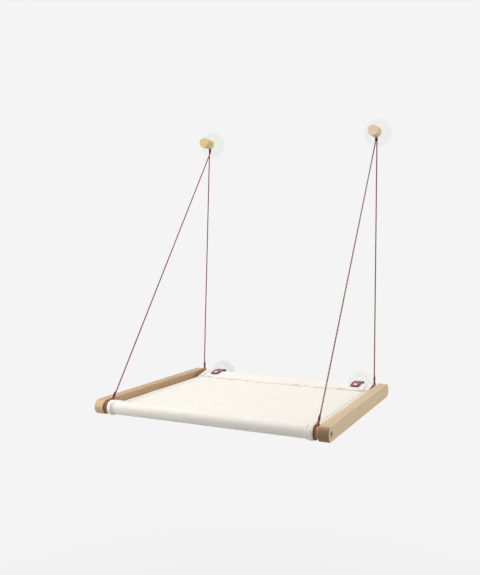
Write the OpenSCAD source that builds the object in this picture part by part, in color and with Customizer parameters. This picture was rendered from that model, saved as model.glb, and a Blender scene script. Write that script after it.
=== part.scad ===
// Cat hammock that hangs on a window: a canvas seat on a beech frame, two
// hanging cords and four suction cups. The glass is the plane y = 0, the seat
// stands out along -Y, and z = 0 is the height of the two dowels.

/* [Seat frame] */
// Width over both rails
overall_w = 465; // [380:1:560]
// Distance between the front and the rear dowel
dowel_span = 378; // [280:1:440]
// Distance of the rear dowel from the glass
rear_stand = 27; // [26:0.5:40]
// Height of a rail
rail_h = 28; // [25:0.5:34]
// Thickness of a rail
rail_t = 20; // [16:0.5:26]
// Round on the edges of a rail
rail_round = 2; // [0.5:0.25:4]
// Reach of a rail past the round about its rear dowel
rail_tail = 6.5; // [0:0.5:8]
// Diameter of a dowel
dowel_d = 21; // [16:0.5:22]
// Depth of a dowel's socket in the rail
socket_depth = 10; // [6:0.5:12]
// Radial play of a dowel in its socket
socket_play = 0.1; // [0.05:0.01:0.2]

/* [Rail screws] */
// Diameter of the counterbore in the outer face
cbore_d = 11; // [10:0.25:13]
// Depth of the counterbore
cbore_depth = 5; // [3.5:0.25:6]
// Diameter of a screw's head
screw_head_d = 9; // [7:0.25:9.5]
// Height of a screw's head
screw_head_h = 2.8; // [2:0.1:3.2]
// Diameter of a screw's shank
screw_d = 4; // [3:0.1:5]
// Length of a screw's shank
screw_len = 30; // [20:1:45]
// Radial play of a screw in the wood
screw_play = 0.05; // [0.03:0.01:0.15]

/* [Canvas] */
// Thickness of one layer of canvas
canvas_t = 1.2; // [0.8:0.1:1.6]
// Gap between the end of the canvas and the rail, where the cord goes round
canvas_gap = 8.2; // [6:0.1:14]
// Distance of the edge of a sleeve, sewn down on the seat, from its dowel
sleeve_run = 43; // [32:1:60]
// Height of the seat's top face above the dowels
seat_lift = 3.4; // [2.5:0.1:5]
// Play between a sleeve and its dowel
sleeve_play = 0.3; // [0.2:0.05:0.8]
// Width of the hem at each side
hem_w = 12; // [8:1:20]

/* [Suction cups] */
// Diameter of a suction cup
cup_d = 60; // [50:1:75]
// Thickness of a cup's lip
lip_t = 0.8; // [0.5:0.1:1.5]
// Width of the lip that seals on the glass
seal_w = 5; // [3:0.5:8]
// Depth of the hollow behind a cup
hollow = 1.2; // [0.6:0.1:1.6]
// Distance of an upper cup in from the rail's inner face
upper_inset = 12.5; // [0:0.5:60]
// Height of the upper cups above the dowels
upper_rise = 550; // [450:1:650]
// Diameter of an upper cup's hub
hub_d = 25; // [22:0.5:30]
// Reach of an upper cup's hub from the glass
hub_reach = 6; // [5:0.25:8]
// Diameter of the boss on the hub
boss_d = 16; // [12:0.5:18]
// Reach of the boss from the glass
boss_reach = 10.5; // [9:0.25:14]
// Distance of a lower cup in from the end of the canvas
lower_inset = 35.3; // [28:0.1:80]
// Height of the lower cups above the dowels
lower_rise = 3; // [0:0.5:3.5]
// Diameter of a lower cup's hub
low_hub_d = 22; // [18:0.5:26]
// Reach of a lower cup's hub from the glass
low_hub_reach = 5.5; // [5:0.1:6]
// Diameter of the neck between hub and head
neck_d = 7; // [6:0.25:8]
// Length of that neck
neck_len = 4; // [3.4:0.1:4.2]
// Diameter of the head that holds the tab
head_d = 14; // [11:0.5:14.5]
// Thickness of that head
head_t = 4; // [3:0.1:4.2]

/* [Knobs] */
// Diameter of a knob
knob_d = 23; // [18:0.5:30]
// Length of a knob
knob_len = 30; // [24:0.5:36]
// Chamfer on the front edge of a knob
knob_chamfer = 1.4; // [0.5:0.1:3]
// Gap between boss and knob, where the cord goes round the stud
loop_gap = 4; // [4:0.1:6]
// Diameter of the stud
stud_d = 8; // [6:0.5:8]
// Depth of the stud in the knob
stud_grip = 20; // [10:0.5:22]
// Depth of the stud in the cup
stud_root = 7.5; // [5:0.25:7.5]
// Radial play of the stud
stud_play = 0.05; // [0.03:0.01:0.1]

/* [Cords] */
// Diameter of a cord
cord_d = 2.5; // [1.5:0.1:3]
// Gap between the two strands in a sleeve
strand_gap = 0.2; // [0.1:0.05:0.5]
// Gap between the end of the canvas and the sleeve over a cord's eye
eye_gap = 0.4; // [0.3:0.05:2]
// Play of a cord round a dowel or a stud
eye_play = 0.3; // [0.2:0.05:0.6]
// Distance of a lower sleeve from the dowel it serves
eye_throat = 19.5; // [17:0.5:30]
// Distance of the top sleeve from the stud
top_throat = 9; // [8.5:0.25:14]
// Length of a lower sleeve
sleeve_len = 10; // [6:0.5:16]
// Length of a top sleeve
top_len = 10; // [6:0.5:16]
// Wall of a sleeve
sleeve_wall = 0.55; // [0.4:0.05:0.6]
// Free end of a cord past its sleeve
tail_len = 2; // [0.5:0.5:6]

/* [Tabs] */
// Width of a tab
tab_w = 20; // [16:1:30]
// Thickness of a tab
tab_t = 1.8; // [1:0.1:2]
// Reach of a tab over the canvas, from the rear dowel
tab_reach = 25; // [22:1:30]
// Drop of a tab's end below the neck it buttons on
tab_drop = 9; // [7:0.5:14]
// Round on the corners of a tab
tab_round = 4; // [1:0.5:7]
// Play of the buttonhole round the neck
hole_play = 0.4; // [0.2:0.05:0.8]
// Distance of a rivet from the rear dowel
rivet_at = 12.5; // [12:0.5:16]
// Diameter of a rivet's head
rivet_d = 8; // [6:0.25:10]
// Height of a rivet's head
rivet_h = 1.8; // [1:0.1:2.5]
// Diameter of a rivet's shank
rivet_shank = 3.2; // [2.4:0.1:4]
// Play under and round a rivet
rivet_play = 0.05; // [0.03:0.01:0.15]

/* [Hidden] */
$fn = 64;
rear_y = -rear_stand;
front_y = -rear_stand - dowel_span;
rail_in = overall_w / 2 - rail_t;
canvas_w = 2 * (rail_in - canvas_gap);
dowel_end = rail_in + socket_depth - 0.3;
roll_in = dowel_d / 2 + sleeve_play;
roll_out = roll_in + canvas_t;
eye_x = canvas_w / 2 + eye_gap + sleeve_wall + cord_d / 2;
eye_r = dowel_d / 2 + cord_d / 2 + eye_play;
strand = (cord_d + strand_gap) / 2;
top_x = rail_in - upper_inset;
lower_x = canvas_w / 2 - lower_inset;
top_y = -boss_reach - loop_gap / 2;
top_r = stud_d / 2 + cord_d / 2 + eye_play / 2;
top_z = upper_rise - top_throat - top_len;
leg_dir = [top_y - front_y, top_z] / norm([top_y - front_y, top_z]);
tab_y = -low_hub_reach - neck_len / 2;
tab_lift = 0.2 + tab_t / 2;
bend_r = 1.6 + tab_t / 2;
cord_sides = 8;

function unit(v) = v / norm(v);

// Angle at which a tangent from point p meets a circle of radius r
function touch(p, r, s) = atan2(p[1], p[0]) + s * acos(r / norm(p));

slope = 90 - touch([sleeve_run, seat_lift + canvas_t], roll_out, 1);

// An eye round a rod: two strands in the sleeve and the loop between them,
// in the rod's plane with the second axis towards the sleeve
function eye(r, throat, run, n, tail_a, tail_b) =
  let (a = touch([strand, throat], r, -1))
  concat(
    [[strand, throat + run + tail_a], [strand, throat]],
    [for (i = [0:n]) let (b = a - (180 + 2 * a) * i / n) r * [cos(b), sin(b)]],
    [[-strand, throat], [-strand, throat + run + tail_b]]);

function reversed(v) = [for (i = [len(v) - 1:-1:0]) v[i]];

// One cord: rear eye, rear leg, loop over the stud, front leg, front eye
cord_path = concat(
  [for (p = eye(eye_r, eye_throat, sleeve_len, 16, tail_len, 0)) [eye_x, rear_y + p[0], p[1]]],
  [for (p = eye(top_r, top_throat, top_len, 12, 0, 0)) [top_x + p[0], top_y, upper_rise - p[1]]],
  [for (p = eye(eye_r, eye_throat, sleeve_len, 16, 0, tail_len))
    [eye_x, front_y + p[0] * leg_dir[1] + p[1] * leg_dir[0], p[1] * leg_dir[1] - p[0] * leg_dir[0]]]);

function steps(p) = [for (i = [0:len(p) - 2]) unit(p[i + 1] - p[i])];
function headings(s) = [for (i = [0:len(s)]) unit((i > 0 ? s[i - 1] : [0, 0, 0]) + (i < len(s) ? s[i] : [0, 0, 0]))];
function normals(t, i = 0, n = [0.31, 0.52, 0.8], out = []) =
  i == len(t) ? out : let (m = unit(n - (n * t[i]) * t[i])) normals(t, i + 1, m, concat(out, [m]));

echo(cord_length = let (p = cord_path) [for (i = [0:len(p) - 2]) norm(p[i + 1] - p[i])] * [for (i = [0:len(p) - 2]) 1]);

// Round tube swept along a path, with its rings carried along without twist
module tube(p, d, k) {
  t = headings(steps(p));
  n = normals(t);
  pts = [for (i = [0:len(p) - 1]) for (j = [0:k - 1]) let (b = cross(t[i], n[i]))
    p[i] + d / 2 * (cos(360 * j / k) * n[i] + sin(360 * j / k) * b)];
  last = (len(p) - 1) * k;
  faces = concat(
    [for (i = [0:len(p) - 2]) for (j = [0:k - 1]) [i * k + j, (i + 1) * k + j, (i + 1) * k + (j + 1) % k]],
    [for (i = [0:len(p) - 2]) for (j = [0:k - 1]) [i * k + j, (i + 1) * k + (j + 1) % k, i * k + (j + 1) % k]],
    [for (j = [1:k - 2]) [0, j, j + 1]],
    [for (j = [1:k - 2]) [last, last + j + 1, last + j]]);
  polyhedron(points = pts, faces = faces, convexity = 10);
}

module left() { mirror([1, 0, 0]) children(); }

// Extrudes a (y, z) outline along X, centred
module along_x(w) { rotate([90, 0, 90]) linear_extrude(height = w, center = true) children(); }

// Revolves a (radius, distance from the glass) outline about a cup's axis
module on_glass(x, z) { translate([x, 0, z]) rotate([90, 0, 0]) rotate_extrude() children(); }

module round_rect(w, h, r) {
  square([w - 2 * r, h], center = true);
  square([w, h - 2 * r], center = true);
  for (i = [-1, 1], j = [-1, 1]) translate([i * (w / 2 - r), j * (h / 2 - r)]) circle(r = r);
}

module stadium(w, h) {
  square([w - h, h], center = true);
  for (i = [-1, 1]) translate([i * (w - h) / 2, 0]) circle(d = h);
}

// Half of a round rail end
module rail_end() {
  translate([overall_w / 2 - rail_t / 2, 0, 0]) rotate([0, 90, 0]) rotate_extrude(angle = 180)
    intersection() {
      round_rect(rail_h, rail_t, rail_round);
      translate([0, -rail_t]) square([rail_h, 2 * rail_t]);
    }
}

module rail() {
  color("burlywood") difference() {
    union() {
      translate([overall_w / 2 - rail_t / 2, rear_y + rail_tail, 0]) rotate([90, 0, 0])
        linear_extrude(height = dowel_span + rail_tail) round_rect(rail_t, rail_h, rail_round);
      translate([0, rear_y + rail_tail, 0]) rail_end();
      translate([0, front_y, 0]) mirror([0, 1, 0]) rail_end();
    }
    for (y = [rear_y, front_y]) translate([rail_in - 1, y, 0]) rotate([0, 90, 0])
      cylinder(d = dowel_d + 2 * socket_play, h = socket_depth + 1);
    translate([rail_in, front_y, 0]) rotate([0, 90, 0]) cylinder(d = screw_d + 2 * screw_play, h = rail_t);
    translate([overall_w / 2 - cbore_depth, front_y, 0]) rotate([0, 90, 0]) cylinder(d = cbore_d, h = cbore_depth + 1);
  }
}
module rail_right() { rail(); }
module rail_left() { left() rail(); }

module dowel(y, drilled) {
  color("tan") translate([0, y, 0]) rotate([0, 90, 0]) difference() {
    union() {
      cylinder(d = dowel_d, h = 2 * dowel_end - 2, center = true);
      for (i = [0, 1]) mirror([0, 0, i]) translate([0, 0, dowel_end - 1]) cylinder(d1 = dowel_d, d2 = dowel_d - 2, h = 1);
    }
    if (drilled) for (i = [0, 1]) mirror([0, 0, i])
      translate([0, 0, overall_w / 2 - cbore_depth - screw_len - 1]) cylinder(d = screw_d + 2 * screw_play, h = screw_len);
  }
}
module front_dowel() { dowel(front_y, true); }
module rear_dowel() { dowel(rear_y, false); }

// Domed screw that pulls the rail onto the front dowel, with a cross slot
module rail_screw() {
  translate([overall_w / 2 - cbore_depth, front_y, 0]) rotate([0, 90, 0]) difference() {
    union() {
      translate([0, 0, -screw_len]) cylinder(d = screw_d, h = screw_len);
      cylinder(d = screw_head_d, h = screw_head_h / 2);
      translate([0, 0, screw_head_h / 2]) cylinder(d1 = screw_head_d, d2 = screw_head_d * 0.6, h = screw_head_h / 2);
    }
    for (a = [0, 90]) rotate([0, 0, a]) translate([0, 0, screw_head_h])
      cube([screw_head_d * 0.5, 1, 2.4], center = true);
  }
}
module rail_screws() { color("silver") { rail_screw(); left() rail_screw(); } }

// One sleeve of the canvas, round its dowel and closed at the seam, towards +u.
// The seam is as high as top: the edge is sewn down over or under the seat
module sleeve2d(top) {
  seam_top = [sleeve_run, top];
  seam_low = [sleeve_run, top - 2 * canvas_t];
  up_a = touch(seam_top, roll_out, 1);
  low_a = touch(seam_low, roll_out, -1);
  apex = roll_in / cos((up_a - low_a) / 2) * [cos((up_a + low_a) / 2), sin((up_a + low_a) / 2)];
  difference() {
    union() {
      circle(r = roll_out);
      polygon([[0, 0], (roll_out - 0.05) * [cos(up_a), sin(up_a)], seam_top, seam_low, (roll_out - 0.05) * [cos(low_a), sin(low_a)]]);
    }
    circle(r = roll_in);
    polygon([[0, 0], (roll_in - 0.1) * [cos(up_a), sin(up_a)], apex, (roll_in - 0.1) * [cos(low_a), sin(low_a)]]);
  }
}

module canvas_seat() {
  seat_run = dowel_span - 2 * sleeve_run;
  color("ivory") difference() {
    union() {
      along_x(canvas_w) {
        translate([rear_y, 0]) mirror([1, 0]) sleeve2d(seat_lift + canvas_t);
        translate([front_y, 0]) sleeve2d(seat_lift);
        translate([front_y + sleeve_run - 0.1, seat_lift - canvas_t]) square([seat_run + 0.2, canvas_t]);
      }
      for (i = [-1, 1]) translate([i * (canvas_w - hem_w) / 2, (rear_y + front_y) / 2 - 0.3, seat_lift - 1.5 * canvas_t + 0.1])
        cube([hem_w, seat_run - 0.4, canvas_t], center = true);
    }
    for (i = [-1, 1]) on_slope(i * lower_x) translate([0, 0, -canvas_t - 1])
      cylinder(d = rivet_shank + 2 * rivet_play, h = canvas_t + 2);
  }
}

// Places a child on the sloping top of the rear sleeve, with its z outwards
module on_slope(x) {
  z = (roll_out - rivet_at * sin(slope)) / cos(slope);
  translate([x, rear_y - rivet_at, z]) rotate([slope, 0, 0]) children();
}

module cord() { color("maroon") tube(cord_path, cord_d, cord_sides); }
module cord_right() { cord(); }
module cord_left() { left() cord(); }

// Binding round the two strands of a cord, drawn in at both ends
module binding(run) {
  w = 2 * strand + cord_d + 0.2;
  h = cord_d + 0.2;
  color("brown") difference() {
    union() {
      linear_extrude(height = run) stadium(w + 2 * sleeve_wall - 0.4, h + 2 * sleeve_wall - 0.4);
      translate([0, 0, run * 0.1]) linear_extrude(height = run * 0.8)
        stadium(w + 2 * sleeve_wall, h + 2 * sleeve_wall);
    }
    translate([0, 0, -1]) linear_extrude(height = run + 2) stadium(w, h);
  }
}
module top_sleeve() { translate([top_x, top_y, top_z]) binding(top_len); }
module rear_sleeve() { translate([eye_x, rear_y, eye_throat]) rotate([0, 0, 90]) binding(sleeve_len); }
module front_sleeve() {
  translate([eye_x, front_y, 0]) rotate([-atan2(leg_dir[0], leg_dir[1]), 0, 0])
    translate([0, 0, eye_throat]) rotate([0, 0, 90]) binding(sleeve_len);
}
module top_sleeve_right() { top_sleeve(); }
module top_sleeve_left() { left() top_sleeve(); }
module rear_sleeve_right() { rear_sleeve(); }
module rear_sleeve_left() { left() rear_sleeve(); }
module front_sleeve_right() { front_sleeve(); }
module front_sleeve_left() { left() front_sleeve(); }

// Front of a suction cup: thin at the lip, flaring up to the hub
function flare(r0, h0, r1, h1, n) = [for (i = [0:n]) let (k = i / n) [r0 + (r1 - r0) * k, h0 + (h1 - h0) * k * k]];
cup_back = [[0, hollow], [cup_d / 2 - seal_w - 5, hollow], [cup_d / 2 - seal_w, 0], [cup_d / 2, 0]];

module upper_cup() {
  color("lightcyan") on_glass(top_x, upper_rise) polygon(concat(cup_back,
    flare(cup_d / 2, lip_t, hub_d / 2 + 1, hub_reach * 0.5, 10),
    [[hub_d / 2, hub_reach * 0.6], [hub_d / 2 - 0.6, hub_reach - 1], [hub_d / 2 - 1.6, hub_reach],
     [boss_d / 2 + 0.6, hub_reach], [boss_d / 2, hub_reach + 0.6], [boss_d / 2, boss_reach - 0.6], [boss_d / 2 - 0.6, boss_reach],
     [stud_d / 2 + stud_play, boss_reach], [stud_d / 2 + stud_play, boss_reach - stud_root - 0.2], [0, boss_reach - stud_root - 0.2]]));
}
module upper_cup_right() { upper_cup(); }
module upper_cup_left() { left() upper_cup(); }

module stud() {
  color("silver") translate([top_x, -boss_reach + stud_root, upper_rise]) rotate([90, 0, 0])
    cylinder(d = stud_d, h = stud_root + loop_gap + stud_grip);
}
module stud_right() { stud(); }
module stud_left() { left() stud(); }

module knob() {
  back = boss_reach + loop_gap;
  bore = stud_d / 2 + stud_play;
  color("wheat") on_glass(top_x, upper_rise) polygon([
    [bore, back], [knob_d / 2 - 0.6, back], [knob_d / 2, back + 0.6], [knob_d / 2, back + knob_len - knob_chamfer],
    [knob_d / 2 - knob_chamfer * 0.3, back + knob_len - knob_chamfer * 0.3], [knob_d / 2 - knob_chamfer, back + knob_len],
    [0, back + knob_len], [0, back + stud_grip + 0.5], [bore, back + stud_grip + 0.5]]);
}
module knob_right() { knob(); }
module knob_left() { left() knob(); }

module lower_cup() {
  head = low_hub_reach + neck_len;
  color("lightcyan") on_glass(lower_x, lower_rise) polygon(concat(cup_back,
    flare(cup_d / 2, lip_t, low_hub_d / 2 + 1, low_hub_reach * 0.75, 10),
    [[low_hub_d / 2, low_hub_reach - 0.8], [low_hub_d / 2 - 0.8, low_hub_reach], [neck_d / 2 + 0.5, low_hub_reach],
     [neck_d / 2, low_hub_reach + 0.5], [neck_d / 2, head], [head_d / 2 - 0.5, head], [head_d / 2, head + 0.5],
     [head_d / 2, head + head_t * 0.45], [head_d / 2 - 1, head + head_t * 0.8], [head_d / 2 - 2.6, head + head_t], [0, head + head_t]]));
}
module lower_cup_right() { lower_cup(); }
module lower_cup_left() { left() lower_cup(); }

// Middle line of a tab in (y, z): up the sleeve, over the dowel, back over
// the head of the cup and down behind it
tab_line = let (r = roll_out + tab_lift, drop = lower_rise - tab_drop) concat(
  [[-tab_reach, (r - tab_reach * sin(slope)) / cos(slope)]],
  [for (i = [0:4]) let (a = 90 + slope * (1 - i / 4)) r * [cos(a), sin(a)]],
  [for (i = [0:6]) let (a = 90 - 15 * i) [tab_y - rear_y - bend_r, r - bend_r] + bend_r * [cos(a), sin(a)]],
  [[tab_y - rear_y, drop]]);

module tab() {
  d = headings(steps([for (p = tab_line) [p[0], p[1], 0]]));
  side = [for (i = [0:len(d) - 1]) tab_t / 2 * [-d[i][1], d[i][0]]];
  far = 2 * (rear_stand + tab_reach);
  color("firebrick") difference() {
    intersection() {
      translate([lower_x, rear_y, 0]) along_x(tab_w)
        polygon(concat([for (i = [0:len(d) - 1]) tab_line[i] + side[i]], reversed([for (i = [0:len(d) - 1]) tab_line[i] - side[i]])));
      translate([lower_x, rear_y - tab_reach - 1 + far / 2, 0])
        linear_extrude(height = far, center = true) round_rect(tab_w, far, tab_round);
      translate([lower_x, rear_y, lower_rise - tab_drop + far / 2]) rotate([90, 0, 0])
        linear_extrude(height = far, center = true) round_rect(tab_w, far, tab_round);
    }
    on_slope(lower_x) cylinder(d = rivet_shank + 2 * rivet_play, h = 6);
    translate([lower_x, 0, lower_rise]) rotate([90, 0, 0]) cylinder(d = neck_d + 2 * hole_play, h = -tab_y + tab_t);
    translate([lower_x, tab_y, lower_rise + head_d / 4]) cube([1, 2 * tab_t, head_d / 2], center = true);
  }
}
module tab_right() { tab(); }
module tab_left() { left() tab(); }

// Rivet through the tab and the top layer of the sleeve
module rivet() {
  base = tab_lift + tab_t / 2 + rivet_play;
  foot = canvas_t + 0.1 + rivet_play;
  color("gainsboro") on_slope(lower_x) rotate_extrude() polygon(concat(
    [[0, -foot - 1], [rivet_d * 0.4, -foot - 1], [rivet_d * 0.4, -foot], [rivet_shank / 2, -foot],
     [rivet_shank / 2, base], [rivet_d / 2, base]],
    [for (i = [0:6]) [rivet_d / 2 * cos(15 * i), base + 0.3 + (rivet_h - 0.3) * sin(15 * i)]]));
}
module rivet_right() { rivet(); }
module rivet_left() { left() rivet(); }

rail_left();
rail_right();
front_dowel();
rear_dowel();
rail_screws();
canvas_seat();
cord_left();
cord_right();
top_sleeve_left();
top_sleeve_right();
rear_sleeve_left();
rear_sleeve_right();
front_sleeve_left();
front_sleeve_right();
upper_cup_left();
upper_cup_right();
stud_left();
stud_right();
knob_left();
knob_right();
lower_cup_left();
lower_cup_right();
tab_left();
tab_right();
rivet_left();
rivet_right();
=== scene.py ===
import math

import bmesh
import bpy
from mathutils import Matrix, Vector, noise


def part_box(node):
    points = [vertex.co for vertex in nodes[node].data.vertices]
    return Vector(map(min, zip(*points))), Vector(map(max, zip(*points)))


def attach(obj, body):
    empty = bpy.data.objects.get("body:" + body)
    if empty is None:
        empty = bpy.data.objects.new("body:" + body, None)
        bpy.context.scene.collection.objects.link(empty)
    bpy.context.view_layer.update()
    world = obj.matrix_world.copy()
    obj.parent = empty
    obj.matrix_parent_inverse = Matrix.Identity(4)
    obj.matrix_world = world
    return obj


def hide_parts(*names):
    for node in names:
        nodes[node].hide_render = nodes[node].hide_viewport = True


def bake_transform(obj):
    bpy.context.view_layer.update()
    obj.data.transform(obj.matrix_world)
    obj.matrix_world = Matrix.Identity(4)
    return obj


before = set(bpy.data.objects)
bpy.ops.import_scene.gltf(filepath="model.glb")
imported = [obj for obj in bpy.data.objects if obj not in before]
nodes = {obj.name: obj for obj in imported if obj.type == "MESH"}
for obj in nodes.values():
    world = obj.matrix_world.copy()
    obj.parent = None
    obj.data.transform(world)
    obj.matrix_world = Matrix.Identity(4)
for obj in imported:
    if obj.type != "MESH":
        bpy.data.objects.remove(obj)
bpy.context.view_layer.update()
scene = bpy.context.scene
scene.view_settings.view_transform = "Standard"
mm = 0.001
bothSides = {"left": -1, "right": 1}
noiseSpan = (0.3, 0.7)  # where most values of a noise lie
weldDistance = 1e-6


# small helpers

def linearColour(hexCode, share=1.0):
    # sRGB hex to linear, dimmed to a share of its light
    parts = [int(hexCode[i:i + 2], 16) / 255 for i in (1, 3, 5)]
    linear = [p / 12.92 if p <= 0.04045 else ((p + 0.055) / 1.055) ** 2.4 for p in parts]
    return [p * share for p in linear] + [1.0]


def addNode(tree, kind, settings=None, links=None):
    node = tree.nodes.new(kind)
    for key, value in (settings or {}).items():
        if key == "stops":  # of a colour ramp, which starts with two
            for i, (position, colour) in enumerate(value):
                stop = node.color_ramp.elements[i] if i < 2 else node.color_ramp.elements.new(1.0)
                stop.position, stop.color = position, colour
        elif isinstance(key, str) and key in node.bl_rna.properties:
            setattr(node, key, value)
        else:
            node.inputs[key].default_value = value
    for key, source in (links or {}).items():
        tree.links.new(source, node.inputs[key])
    return node


def newFinish(name):
    finish = bpy.data.materials.new(name)
    finish.use_nodes = True
    tree = finish.node_tree
    return finish, tree, tree.nodes["Principled BSDF"]


def dress(nodeName, finish):
    slots = nodes[nodeName].data.materials
    slots.clear()
    slots.append(finish)


def addPiece(name, mesh, finishes, smooth=True):
    if isinstance(mesh, bmesh.types.BMesh):
        made = bpy.data.meshes.new(name)
        mesh.to_mesh(made)
        mesh.free()
        mesh = made
    for finish in finishes:
        mesh.materials.append(finish)
    if smooth:
        mesh.shade_smooth()
    piece = bpy.data.objects.new(name, mesh)
    scene.collection.objects.link(piece)
    return piece


def smoothstep(low, high, value):
    t = min(1.0, max(0.0, (value - low) / (high - low)))
    return t * t * (3 - 2 * t)


def bell(distance, reach):
    return math.exp(-(distance / reach) ** 2)


def ripple(a, b, sizes, patch):
    # smooth noise with waves of these sizes; patch only picks another part of it
    return noise.noise(Vector((a / sizes[0], b / sizes[1], patch)))


def stepsBetween(a, b, size):
    count = max(1, round(abs(b - a) / size))
    return [a + (b - a) * i / count for i in range(count + 1)]


def tangentAngle(point, radius, side):
    # angle on a circle at the origin where a line from the point touches it
    return math.atan2(point[1], point[0]) + side * math.acos(radius / math.hypot(*point))


# camera, from the fitted view

cameraView = {"place": (0.56451, -1.44765, 0.29577), "yaw": 0.445, "pitch": -0.053,
              "roll": 0.003, "focalPixels": 676.58, "longSide": 575, "sensor": 36.0}


def makeCamera(view):
    yaw, pitch, roll = view["yaw"], view["pitch"], view["roll"]
    ahead = Vector((-math.sin(yaw) * math.cos(pitch), math.cos(yaw) * math.cos(pitch), math.sin(pitch)))
    right = Vector((math.cos(yaw), math.sin(yaw), 0))
    up = right.cross(ahead)
    turnedRight = math.cos(roll) * right + math.sin(roll) * up
    turnedUp = math.cos(roll) * up - math.sin(roll) * right
    data = bpy.data.cameras.new("camera")
    data.sensor_width = view["sensor"]
    data.lens = view["focalPixels"] / view["longSide"] * view["sensor"]
    camera = bpy.data.objects.new("camera", data)
    turn = Matrix((turnedRight, turnedUp, -ahead)).transposed().to_4x4()
    camera.matrix_world = Matrix.Translation(view["place"]) @ turn
    scene.collection.objects.link(camera)
    scene.camera = camera


makeCamera(cameraView)
print("camera set")


# shared places, in mm, the same as in the part's source
seatPlan = {"rearY": -27.0, "frontY": -405.0, "rollRadius": 12.0, "clothThick": 1.2,
            "sleeveRun": 43.0, "seatTop": 3.4, "canvasHalf": 204.3}


# yarns: fibre and depth in mm, gap is how dark the painted shade between the fibres gets

# dyed polyester ply: soft sheen along the filaments, fine painted shade in the gaps between them
polyesterPly = {"fibre": 0.5, "detail": 3.0, "gap": 0.55, "bump": 0.5, "depth": 0.15,
                "roughness": 0.55, "sheen": 0.2}
# waxed polyester thread: darker than the cord, with a low waxy gloss
waxedThread = {"fibre": 0.35, "detail": 2.0, "gap": 0.6, "bump": 0.4, "depth": 0.1,
               "roughness": 0.42, "sheen": 0.0}
# spun cotton thread: matt, with a fine twist
cottonThread = {"fibre": 0.4, "detail": 2.0, "gap": 0.7, "bump": 0.4, "depth": 0.1,
                "roughness": 0.8, "sheen": 0.0}


def spunYarn(name, colour, yarn):
    finish, tree, shader = newFinish(name)
    place = addNode(tree, "ShaderNodeTexCoord")
    fibre = addNode(tree, "ShaderNodeTexNoise",
                    {"Scale": 1 / (yarn["fibre"] * mm), "Detail": yarn["detail"]},
                    {"Vector": place.outputs["Object"]})
    tone = addNode(tree, "ShaderNodeValToRGB",
                   {"stops": zip(noiseSpan, (linearColour(colour, yarn["gap"]), linearColour(colour)))},
                   {"Fac": fibre.outputs["Fac"]})
    tree.links.new(tone.outputs["Color"], shader.inputs["Base Color"])
    bump = addNode(tree, "ShaderNodeBump", {"Strength": yarn["bump"], "Distance": yarn["depth"] * mm},
                   {"Height": fibre.outputs["Fac"]})
    tree.links.new(bump.outputs["Normal"], shader.inputs["Normal"])
    shader.inputs["Roughness"].default_value = yarn["roughness"]
    shader.inputs["Sheen Weight"].default_value = yarn["sheen"]
    return finish


# cords: four-ply twisted polyester, two plies a shade darker. each has an eye round the rear dowel,
# a loop over its stud and an eye round the front dowel

cordLook = {"diameter": 2.5, "strand": 1.35, "step": 0.7, "eyeSteps": 48, "cornerRounds": 3,
            "eyeX": 206.5, "eyeRadius": 12.05, "eyeThroat": 19.5, "sleeveLength": 10.0, "tail": 2.0,
            "topX": 200.0, "topY": -12.5, "topZ": 550.0,
            "topRadius": 5.4, "topThroat": 9.0, "topLength": 10.0,
            "plies": 4, "plyRadius": 0.59, "plyOffset": 0.74, "plySides": 2, "pitch": 7.7,
            "plyColours": ("#78182c", "#7e1c30", "#b5435a", "#ad3c52"),
            # painted shade and painted highlight for the right cord's front leg
            "paintedTwistShadeColours": ("#500a1a", "#580d1e", "#d78e9d", "#cf8493"),
            "paintedTwistShadeBeforeY": -45.0, "paintedTwistShadeAboveZ": 30.0}


def eyeLoop(radius, throat, run, tailIn, tailOut, look):
    strand, steps = look["strand"], look["eyeSteps"]
    first = tangentAngle((strand, throat), radius, -1)
    sweep = math.pi + 2 * first
    turns = [first - sweep * i / steps for i in range(steps + 1)]
    bend = [(radius * math.cos(a), radius * math.sin(a)) for a in turns]
    return [(strand, throat + run + tailIn), (strand, throat)] + bend + [
        (-strand, throat), (-strand, throat + run + tailOut)]


def evenly(points, step):
    # the same line with points a fixed distance apart
    made, carry = [points[0].copy()], 0.0
    for a, b in zip(points, points[1:]):
        span = (b - a).length
        along = step - carry
        while along < span:
            made.append(a.lerp(b, along / span))
            along += step
        carry = span - (along - step)
    if (made[-1] - points[-1]).length > step * 0.3:  # else the last point would crowd the one before
        made.append(points[-1].copy())
    return made


def cordRoute(side, look):
    rise = look["topZ"] - look["topThroat"] - look["topLength"]
    leg = Vector((look["topY"] - seatPlan["frontY"], rise)).normalized()
    eye = look["eyeRadius"], look["eyeThroat"], look["sleeveLength"]
    loop = look["topRadius"], look["topThroat"], look["topLength"]
    rear = [Vector((look["eyeX"], seatPlan["rearY"] + u, v)) for u, v in eyeLoop(*eye, look["tail"], 0, look)]
    top = [Vector((look["topX"] + u, look["topY"], look["topZ"] - v)) for u, v in eyeLoop(*loop, 0, 0, look)]
    front = [Vector((look["eyeX"], seatPlan["frontY"] + u * leg[1] + v * leg[0], v * leg[1] - u * leg[0]))
             for u, v in eyeLoop(*eye, 0, look["tail"], look)]
    route = evenly(rear + top + front, look["step"])
    for _ in range(look["cornerRounds"]):  # rounds the corners at the bindings
        between = [(a + 2 * b + c) / 4 for a, b, c in zip(route, route[1:], route[2:])]
        route = [route[0]] + between + [route[-1]]
    return [Vector((side * p.x, p.y, p.z)) for p in route], leg


def routeFrames(route):
    # two directions square to the route at each point, carried along it free of twist
    made, across = [], Vector((0.31, 0.52, 0.8))  # any start that isn't along the cord
    for i in range(len(route)):
        heading = (route[min(i + 1, len(route) - 1)] - route[max(i - 1, 0)]).normalized()
        across = (across - across.dot(heading) * heading).normalized()
        made.append((across.copy(), heading.cross(across)))
    return made


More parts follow.
